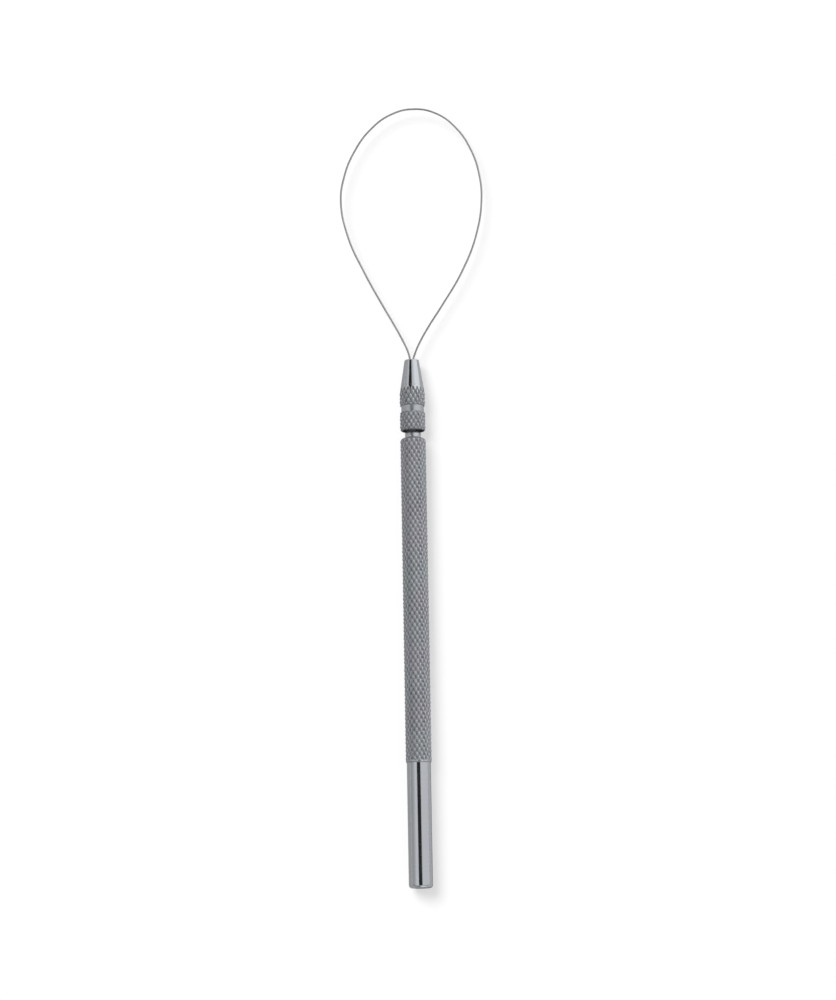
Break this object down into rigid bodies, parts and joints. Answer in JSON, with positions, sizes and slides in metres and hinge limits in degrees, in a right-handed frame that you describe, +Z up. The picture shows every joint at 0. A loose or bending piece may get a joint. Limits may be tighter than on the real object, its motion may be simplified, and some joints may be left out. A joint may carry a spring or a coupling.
{
  "type": "wire loop pulling tool",
  "caption": "Spring-wire pulling loop held by a split collet and knurled chuck nut on a slim knurled steel handle, for threading hair through small rings.",
  "frame": {"origin": "middle of the tail's flat end face, on the tool's axis; the tool lies on a surface 3.23 mm below it", "axes": "+Y along the tool's axis from the tail to the loop; the loop lies flat in the XY plane; +Z up when the tool lies on a table"},
  "size_m": [0.0365, 0.1985, 0.0064],
  "materials": {
    "handle_steel": "diamond-knurled grip, polished tail and neck",
    "collet_brass": "fine turned",
    "nut_steel": "polished cone, diamond-knurled bands",
    "spring_wire": "drawn spring wire"
  },
  "bodies": {
    "handle_body": {"handle": "handle_steel"},
    "collet_body": {"collet": "collet_brass"},
    "nut_body": {"chuck_nut": "nut_steel"},
    "loop_body": {"wire_loop": "spring_wire"}
  },
  "joints": [
    {"name": "collet_travel", "type": "slide", "parent": "handle_body", "child": "collet_body", "axis": [0, 1, 0], "range_m": [0, 0.006]},
    {"name": "nut_turn", "type": "hinge", "parent": "collet_body", "child": "nut_body", "pos_m": [0, 0.11385, 0], "axis": [0, 1, 0], "range_deg": [0, 4320]},
    {"name": "wire_slide", "type": "slide", "parent": "collet_body", "child": "loop_body", "axis": [0, 1, 0], "range_m": [0, 0.013]}
  ],
  "couplings": [
    {"joint": "nut_turn", "follows": "collet_travel", "rad_per_m": 12566}
  ]
}
